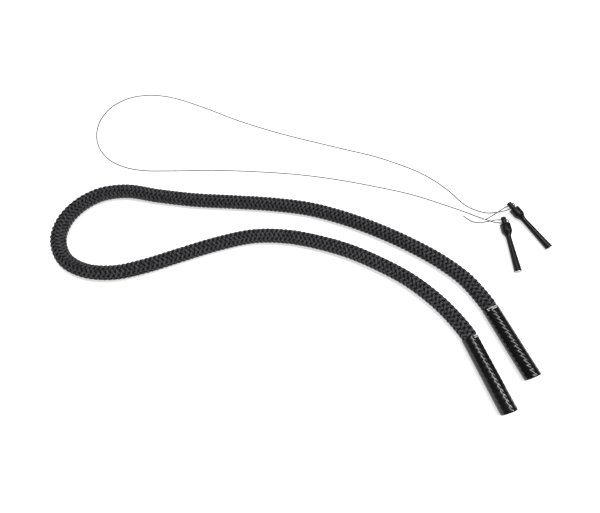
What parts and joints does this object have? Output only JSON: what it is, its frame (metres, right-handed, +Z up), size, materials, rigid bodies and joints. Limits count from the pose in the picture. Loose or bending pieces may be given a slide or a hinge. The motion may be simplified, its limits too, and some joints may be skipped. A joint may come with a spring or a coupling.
{
  "type": "jump rope set",
  "caption": "Jump-rope set: thick black braided rope with glossy heat-shrink grips, and a thin grey cable speed rope with slim black bearing handles.",
  "frame": {"origin": "centre of the heavy rope and the handles together, on the floor that both ropes lie on", "axes": "+Z up from the floor, +X along the long way of both loops towards the grips, +Y from the heavy rope towards the speed rope"},
  "size_m": [1.2693, 0.9245, 0.0381],
  "materials": {
    "rope_fibre": "braided polyester cover, dry matt fibre",
    "rope_filler": "bundled filler yarn",
    "heat_shrink": "glossy heat-shrink film drawn tight over the braid",
    "print_band": "black film with plain white printed blocks",
    "end_cap": "moulded rubber disc",
    "cable_sheath": "thin plastic-coated steel cable, grey",
    "handle_black": "black anodised tube, satin",
    "cover_black": "moulded nylon",
    "spindle_black": "black oxide steel",
    "fastener_steel": "turned steel",
    "bearing_steel": "ground bearing steel",
    "cage_brass": "pressed brass cage with steel balls",
    "spacer_alloy": "turned aluminium",
    "plug_alloy": "satin aluminium end plug"
  },
  "bodies": {
    "ropes_and_spindles": {"rope_cover": "rope_fibre", "rope_core": "rope_filler", "print_band_left": "print_band", "shrink_sleeve_left": "heat_shrink", "end_cap_left": "end_cap", "print_band_right": "print_band", "shrink_sleeve_right": "heat_shrink", "end_cap_right": "end_cap", "cable": "cable_sheath", "cable_tail_a": "cable_sheath", "cable_tail_b": "cable_sheath", "spindle_a": "spindle_black", "clamp_screw_a": "fastener_steel", "inner_race_front_a": "bearing_steel", "inner_race_rear_a": "bearing_steel", "inner_spacer_a": "spacer_alloy", "washer_a": "fastener_steel", "lock_nut_a": "fastener_steel", "spindle_b": "spindle_black", "clamp_screw_b": "fastener_steel", "inner_race_front_b": "bearing_steel", "inner_race_rear_b": "bearing_steel", "inner_spacer_b": "spacer_alloy", "washer_b": "fastener_steel", "lock_nut_b": "fastener_steel"},
    "handle_a": {"handle_body_a": "handle_black", "head_cover_a": "cover_black", "outer_race_front_a": "bearing_steel", "outer_race_rear_a": "bearing_steel", "outer_spacer_a": "spacer_alloy", "end_plug_a": "plug_alloy"},
    "front_cage_a": {"ball_cage_front_a": "cage_brass"},
    "rear_cage_a": {"ball_cage_rear_a": "cage_brass"},
    "handle_b": {"handle_body_b": "handle_black", "head_cover_b": "cover_black", "outer_race_front_b": "bearing_steel", "outer_race_rear_b": "bearing_steel", "outer_spacer_b": "spacer_alloy", "end_plug_b": "plug_alloy"},
    "front_cage_b": {"ball_cage_front_b": "cage_brass"},
    "rear_cage_b": {"ball_cage_rear_b": "cage_brass"}
  },
  "joints": [
    {"name": "handle_a_spin", "type": "hinge", "parent": "ropes_and_spindles", "child": "handle_a", "pos_m": [0.52715, 0.17235, 0.01336], "axis": [0.0549, -0.9978, -0.037], "continuous": true},
    {"name": "front_cage_a_spin", "type": "hinge", "parent": "ropes_and_spindles", "child": "front_cage_a", "pos_m": [0.52715, 0.17235, 0.01336], "axis": [0.0549, -0.9978, -0.037], "continuous": true},
    {"name": "rear_cage_a_spin", "type": "hinge", "parent": "ropes_and_spindles", "child": "rear_cage_a", "pos_m": [0.52715, 0.17235, 0.01336], "axis": [0.0549, -0.9978, -0.037], "continuous": true},
    {"name": "handle_b_spin", "type": "hinge", "parent": "ropes_and_spindles", "child": "handle_b", "pos_m": [0.5601, 0.21935, 0.01336], "axis": [0.5147, -0.8566, -0.037], "continuous": true},
    {"name": "front_cage_b_spin", "type": "hinge", "parent": "ropes_and_spindles", "child": "front_cage_b", "pos_m": [0.5601, 0.21935, 0.01336], "axis": [0.5147, -0.8566, -0.037], "continuous": true},
    {"name": "rear_cage_b_spin", "type": "hinge", "parent": "ropes_and_spindles", "child": "rear_cage_b", "pos_m": [0.5601, 0.21935, 0.01336], "axis": [0.5147, -0.8566, -0.037], "continuous": true}
  ],
  "couplings": [
    {"joint": "front_cage_a_spin", "follows": "handle_a_spin", "ratio": 0.5698},
    {"joint": "rear_cage_a_spin", "follows": "handle_a_spin", "ratio": 0.5698},
    {"joint": "front_cage_b_spin", "follows": "handle_b_spin", "ratio": 0.5698},
    {"joint": "rear_cage_b_spin", "follows": "handle_b_spin", "ratio": 0.5698}
  ]
}
